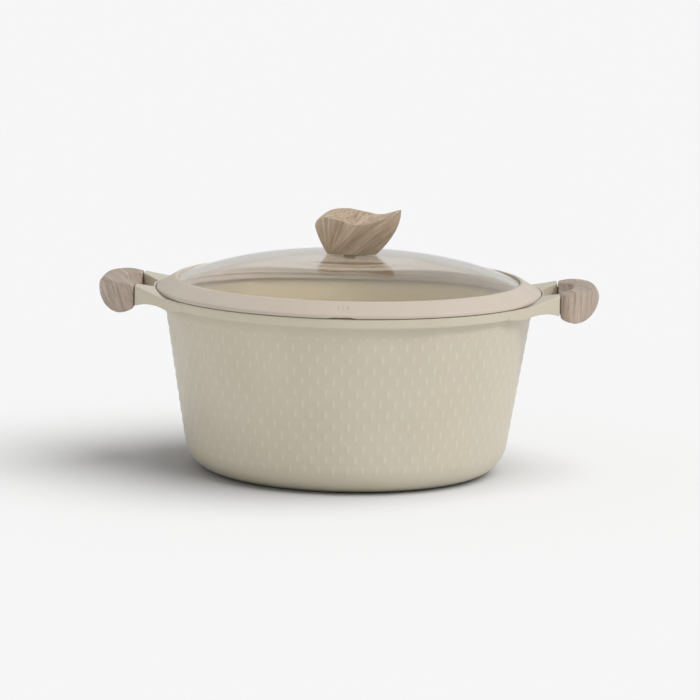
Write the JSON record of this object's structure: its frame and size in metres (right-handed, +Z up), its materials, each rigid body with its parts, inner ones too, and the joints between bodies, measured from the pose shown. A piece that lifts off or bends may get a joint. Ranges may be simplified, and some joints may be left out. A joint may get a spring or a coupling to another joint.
{
  "type": "casserole pot with glass lid",
  "caption": "Casserole pot with loop side handles, a diamond-dimpled wall and a lift-off domed glass lid with a silicone rim and a leaf-shaped wood-look knob.",
  "frame": {"origin": "centre of the base, on the surface that the pot stands on", "axes": "+Z up through the knob, +X along the line of the side handles towards the knob's pointed end, -Y towards the steam vent in the lid's rim"},
  "size_m": [0.3298, 0.254, 0.1728],
  "materials": {
    "coated_aluminium": "satin",
    "wood_effect": "matte",
    "silicone": "matte",
    "glass": "gloss",
    "stainless_steel": "satin",
    "brass": "satin"
  },
  "bodies": {
    "pot": {"pot_body": "coated_aluminium", "base_disc": "stainless_steel", "left_grip": "wood_effect", "right_grip": "wood_effect", "grip_screw_left_front": "stainless_steel", "grip_screw_left_back": "stainless_steel", "grip_screw_right_front": "stainless_steel", "grip_screw_right_back": "stainless_steel"},
    "lid": {"lid_glass": "glass", "lid_rim_seal": "silicone", "lid_knob": "wood_effect", "knob_seat": "silicone", "knob_insert": "brass", "glass_bush": "silicone", "knob_washer": "stainless_steel", "knob_screw": "stainless_steel"}
  },
  "joints": [
    {"name": "lid_lift", "type": "slide", "parent": "pot", "child": "lid", "axis": [0, 0, 1], "range_m": [0, 0.15]}
  ]
}
